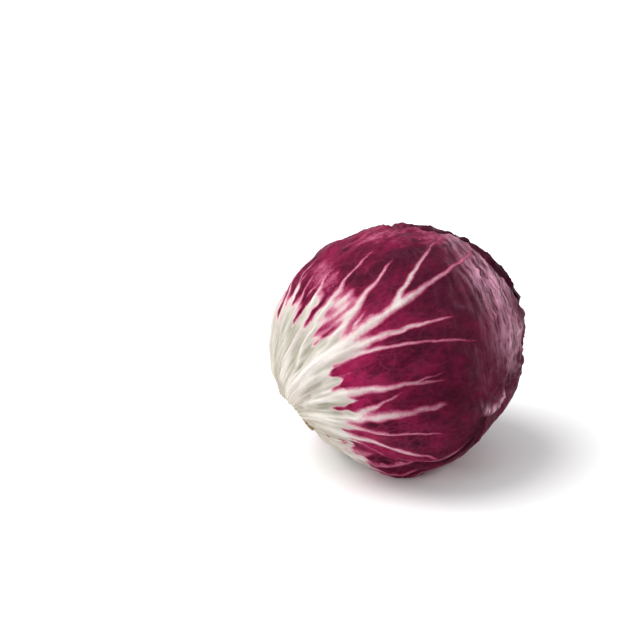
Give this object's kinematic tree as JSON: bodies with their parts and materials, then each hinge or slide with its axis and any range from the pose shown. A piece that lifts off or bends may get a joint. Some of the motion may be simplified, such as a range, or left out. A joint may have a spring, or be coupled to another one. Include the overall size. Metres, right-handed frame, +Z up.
{
  "type": "radicchio head",
  "caption": "Round head of red radicchio lying on its side: tightly wrapped maroon leaves with white ribs spring from a short pale core with a cut stem end.",
  "frame": {"origin": "on the surface that the head lies on, under the middle of its bounding box", "axes": "+Z up; the cut stem points towards -X and 30 degrees down; the leaf tips are on the +X side"},
  "size_m": [0.116, 0.1098, 0.1061],
  "materials": {
    "red_leaf": "waxy satin, maroon with white base and ribs",
    "pale_leaf": "smooth satin, pale pink heart leaves",
    "white_stem": "matt cream core, browned where it is cut"
  },
  "bodies": {
    "root": {"stem_core": "white_stem", "heart_bud": "pale_leaf", "inner_leaf_01": "red_leaf", "inner_leaf_02": "red_leaf", "inner_leaf_03": "red_leaf", "inner_leaf_04": "red_leaf", "inner_leaf_05": "red_leaf", "inner_leaf_06": "red_leaf", "inner_leaf_07": "red_leaf", "inner_leaf_08": "red_leaf", "inner_leaf_09": "red_leaf", "inner_leaf_10": "red_leaf", "inner_leaf_11": "red_leaf", "inner_leaf_12": "pale_leaf", "inner_leaf_13": "pale_leaf", "inner_leaf_14": "pale_leaf", "inner_leaf_15": "pale_leaf", "inner_leaf_16": "pale_leaf", "side_leaf_far": "red_leaf", "side_leaf_near": "red_leaf", "side_leaf_low": "red_leaf", "cheek_leaf_near": "red_leaf", "cover_leaf_top": "red_leaf", "cover_leaf_far": "red_leaf", "cover_leaf_under": "red_leaf", "cover_leaf_front": "red_leaf"}
  },
  "joints": []
}
